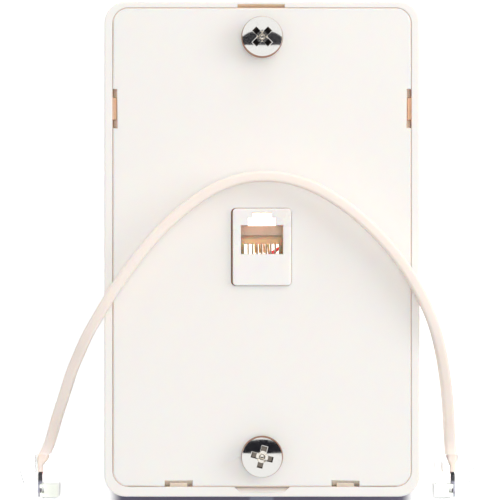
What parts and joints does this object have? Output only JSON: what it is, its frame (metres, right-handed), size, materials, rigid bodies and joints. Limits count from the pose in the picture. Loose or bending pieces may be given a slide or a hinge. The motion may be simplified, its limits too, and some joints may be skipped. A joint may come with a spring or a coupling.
{
  "type": "wall telephone jack",
  "caption": "Wall telephone jack box with flush front plate, mushroom stud screws that hang a phone, a modular line socket, and a short flat line cord ending in clear modular plugs.",
  "frame": {"origin": "centre of the box's back face, which lies against the wall", "axes": "+Z out of the front face, +Y up when it hangs on a wall, +X to the right as seen from the front"},
  "size_m": [0.11, 0.1179, 0.0275],
  "materials": {
    "ivory_plastic": "moulded warm off-white plastic, satin gloss",
    "jack_plastic": "moulded cool white plastic, satin gloss",
    "carrier_plastic": "moulded tan plastic, matt",
    "nickel": "polished nickel plate",
    "brass": "machined brass",
    "gold_contact": "gold plated contact metal",
    "clear_plastic": "clear polished polycarbonate",
    "cord_jacket": "extruded ivory vinyl, satin",
    "black_insulation": "black wire insulation, satin",
    "red_insulation": "red wire insulation, satin",
    "green_insulation": "green wire insulation, satin",
    "yellow_insulation": "yellow wire insulation, satin"
  },
  "bodies": {
    "box": {"base_housing": "ivory_plastic", "front_plate": "ivory_plastic", "upper_insert": "brass", "lower_insert": "brass", "jack_housing": "jack_plastic", "contact_carrier": "carrier_plastic", "contact_tails": "gold_contact", "terminal_block": "ivory_plastic", "terminal_screws": "nickel", "spade_lugs": "brass", "black_lead": "black_insulation", "red_lead": "red_insulation", "green_lead": "green_insulation", "yellow_lead": "yellow_insulation", "line_cord": "cord_jacket", "left_plug_body": "clear_plastic", "left_plug_contacts": "gold_contact", "left_black_wire": "black_insulation", "left_red_wire": "red_insulation", "left_green_wire": "green_insulation", "left_yellow_wire": "yellow_insulation", "right_plug_body": "clear_plastic", "right_plug_contacts": "gold_contact", "right_black_wire": "black_insulation", "right_red_wire": "red_insulation", "right_green_wire": "green_insulation", "right_yellow_wire": "yellow_insulation"},
    "upper_stud": {"upper_stud_screw": "nickel"},
    "lower_stud": {"lower_stud_screw": "nickel"},
    "left_latch": {"left_plug_latch": "clear_plastic"},
    "right_latch": {"right_plug_latch": "clear_plastic"},
    "contact_1": {"contact_wire_1": "gold_contact"},
    "contact_2": {"contact_wire_2": "gold_contact"},
    "contact_3": {"contact_wire_3": "gold_contact"},
    "contact_4": {"contact_wire_4": "gold_contact"}
  },
  "joints": [
    {"name": "upper_stud_turn", "type": "hinge", "parent": "box", "child": "upper_stud", "pos_m": [0, 0.0485, 0.02], "axis": [0, 0, 1], "continuous": true},
    {"name": "lower_stud_turn", "type": "hinge", "parent": "box", "child": "lower_stud", "pos_m": [0, -0.0475, 0.02], "axis": [0, 0, 1], "continuous": true},
    {"name": "left_latch_press", "type": "hinge", "parent": "box", "child": "left_latch", "pos_m": [-0.0551, -0.06, 0.0048], "axis": [0, 0, -1], "range_deg": [0, 12], "stiffness_Nm_per_rad": 0.1},
    {"name": "right_latch_press", "type": "hinge", "parent": "box", "child": "right_latch", "pos_m": [0.0479, -0.06, 0.0048], "axis": [0, 0, 1], "range_deg": [0, 12], "stiffness_Nm_per_rad": 0.1},
    {"name": "contact_1_press", "type": "hinge", "parent": "box", "child": "contact_1", "pos_m": [-0.00153, -0.00075, 0.0186], "axis": [-1, 0, 0], "range_deg": [0, 8], "stiffness_Nm_per_rad": 0.02},
    {"name": "contact_2_press", "type": "hinge", "parent": "box", "child": "contact_2", "pos_m": [-0.00051, -0.00075, 0.0186], "axis": [-1, 0, 0], "range_deg": [0, 8], "stiffness_Nm_per_rad": 0.02},
    {"name": "contact_3_press", "type": "hinge", "parent": "box", "child": "contact_3", "pos_m": [0.00051, -0.00075, 0.0186], "axis": [-1, 0, 0], "range_deg": [0, 8], "stiffness_Nm_per_rad": 0.02},
    {"name": "contact_4_press", "type": "hinge", "parent": "box", "child": "contact_4", "pos_m": [0.00153, -0.00075, 0.0186], "axis": [-1, 0, 0], "range_deg": [0, 8], "stiffness_Nm_per_rad": 0.02}
  ]
}
